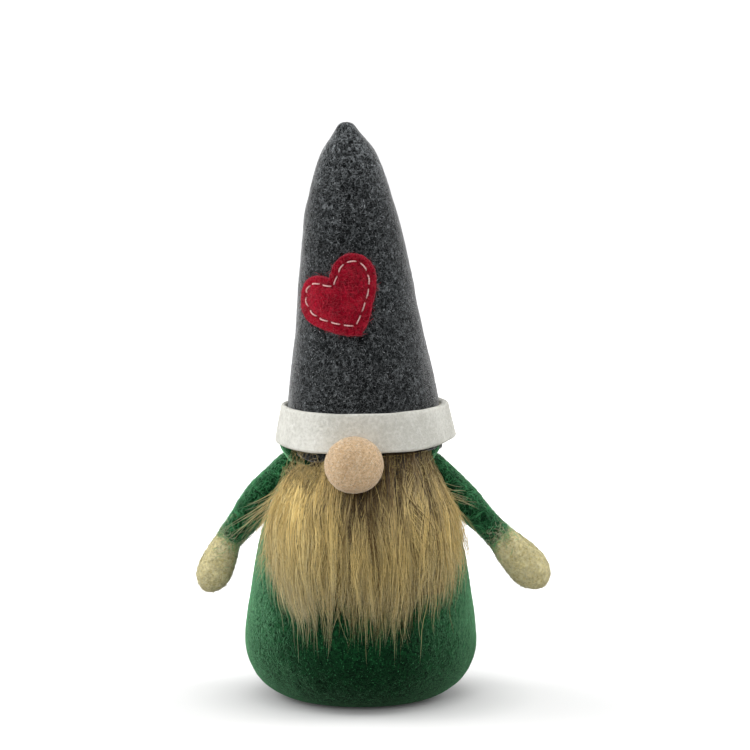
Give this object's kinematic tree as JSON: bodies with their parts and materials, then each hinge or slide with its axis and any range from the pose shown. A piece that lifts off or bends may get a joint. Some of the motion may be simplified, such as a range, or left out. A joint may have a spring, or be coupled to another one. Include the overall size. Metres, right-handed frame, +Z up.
{
  "type": "gnome figurine",
  "caption": "Felt Nordic gnome figurine with a tall pointed hat, ball nose, long pile beard, stuffed bell-shaped body and two poseable mitten arms.",
  "frame": {"origin": "centre of the flat base, on the surface that the figure stands on", "axes": "+Z up along the body, -Y the way the figure faces, +X to the right as seen from in front"},
  "size_m": [0.1239, 0.0883, 0.1998],
  "materials": {
    "green_felt": "matte felted wool",
    "grey_felt": "matte melange felted wool",
    "white_felt": "matte cut felt",
    "red_felt": "matte cut felt",
    "beige_felt": "matte felted ball",
    "cream_felt": "matte felted wool",
    "beard_pile": "long fur pile",
    "pile_backing": "knitted backing",
    "pink_thread": "twisted cotton",
    "green_thread": "twisted cotton",
    "strong_thread": "waxed thread",
    "calico": "plain weave",
    "grit": "rounded grit",
    "stuffing": "loose polyester fibre",
    "glue": "hot melt",
    "wire": "soft annealed wire",
    "button_wood": "plain turned wood"
  },
  "bodies": {
    "root": {"body_shell": "green_felt", "base_disc": "green_felt", "base_stitches": "green_thread", "ballast_pouch": "calico", "ballast_grit": "grit", "body_stuffing": "stuffing", "hat_cone": "grey_felt", "hat_stuffing": "stuffing", "hat_glue": "glue", "hat_band": "white_felt", "hat_band_glue": "glue", "heart_patch": "red_felt", "heart_stitches": "pink_thread", "nose_ball": "beige_felt", "nose_glue": "glue", "beard_backing_top": "pile_backing", "beard_pile_top": "beard_pile", "beard_glue": "glue", "left_shoulder_button": "button_wood", "right_shoulder_button": "button_wood"},
    "beard": {"beard_backing_flap": "pile_backing", "beard_pile_flap": "beard_pile"},
    "left_shoulder": {"left_shoulder_thread": "strong_thread"},
    "left_arm": {"left_arm_sleeve": "green_felt", "left_hand": "cream_felt", "left_arm_wire": "wire"},
    "right_shoulder": {"right_shoulder_thread": "strong_thread"},
    "right_arm": {"right_arm_sleeve": "green_felt", "right_hand": "cream_felt", "right_arm_wire": "wire"}
  },
  "joints": [
    {"name": "left_arm_swing", "type": "hinge", "parent": "root", "child": "left_shoulder", "pos_m": [-0.0245, 0, 0.0795], "axis": [-1, 0, 0], "range_deg": [-45, 75]},
    {"name": "left_arm_raise", "type": "hinge", "parent": "left_shoulder", "child": "left_arm", "pos_m": [-0.0245, 0, 0.0795], "axis": [0, 1, 0], "range_deg": [0, 45]},
    {"name": "right_arm_swing", "type": "hinge", "parent": "root", "child": "right_shoulder", "pos_m": [0.0245, 0, 0.0795], "axis": [-1, 0, 0], "range_deg": [-45, 75]},
    {"name": "right_arm_raise", "type": "hinge", "parent": "right_shoulder", "child": "right_arm", "pos_m": [0.0245, 0, 0.0795], "axis": [0, -1, 0], "range_deg": [0, 45]},
    {"name": "beard_lift", "type": "hinge", "parent": "root", "child": "beard", "pos_m": [0, -0.0306, 0.071], "axis": [-1, 0, 0], "range_deg": [0, 24]}
  ]
}
